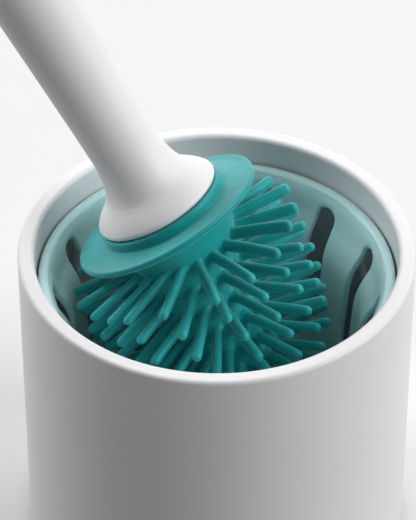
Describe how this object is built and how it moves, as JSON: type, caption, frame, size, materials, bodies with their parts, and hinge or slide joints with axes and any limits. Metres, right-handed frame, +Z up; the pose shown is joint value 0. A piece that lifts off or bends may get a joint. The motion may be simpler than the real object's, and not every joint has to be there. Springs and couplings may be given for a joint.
{
  "type": "toilet brush and holder",
  "caption": "Silicone toilet brush with a splash flange leaning in a slotted drain liner that hangs inside a round open pot.",
  "frame": {"origin": "middle of the pot's anti-slip underside, where the holder stands on the floor", "axes": "+Z up along the pot's axis; -Y is the side the holder is seen from; the brush handle leans towards -X and a little towards +Y"},
  "size_m": [0.226, 0.138, 0.3656],
  "materials": {
    "white_plastic": "fine matt moulded",
    "mint_plastic": "satin, slightly translucent",
    "teal_silicone": "satin silicone",
    "grey_rubber": "matt",
    "black_rubber": "matt",
    "natural_plastic": "natural moulded",
    "steel": "drawn tube",
    "brass": "turned"
  },
  "bodies": {
    "holder": {"outer_pot": "white_plastic", "anti_slip_pad": "grey_rubber"},
    "liner": {"drain_liner": "mint_plastic"},
    "head": {"head_core": "natural_plastic", "splash_guard": "teal_silicone", "bristle_head": "teal_silicone"},
    "seal": {"sealing_washer": "black_rubber"},
    "handle": {"threaded_socket": "brass", "stiffening_tube": "steel", "handle_shell": "white_plastic", "handle_end_cap": "white_plastic"}
  },
  "joints": [
    {"name": "liner_lift", "type": "slide", "parent": "holder", "child": "liner", "axis": [0, 0, 1], "range_m": [0, 0.08]},
    {"name": "brush_lift", "type": "slide", "parent": "liner", "child": "head", "axis": [0, 0, 1], "range_m": [0, 0.09]},
    {"name": "handle_unscrew", "type": "hinge", "parent": "head", "child": "seal", "pos_m": [-0.0183, 0.009, 0.1216], "axis": [-0.4831, 0.1932, 0.854], "range_deg": [0, 1800]},
    {"name": "handle_travel", "type": "slide", "parent": "seal", "child": "handle", "axis": [-0.4831, 0.1932, 0.854], "range_m": [0, 0.0175]}
  ],
  "couplings": [
    {"joint": "handle_travel", "follows": "handle_unscrew", "m_per_rad": 0.000557}
  ]
}
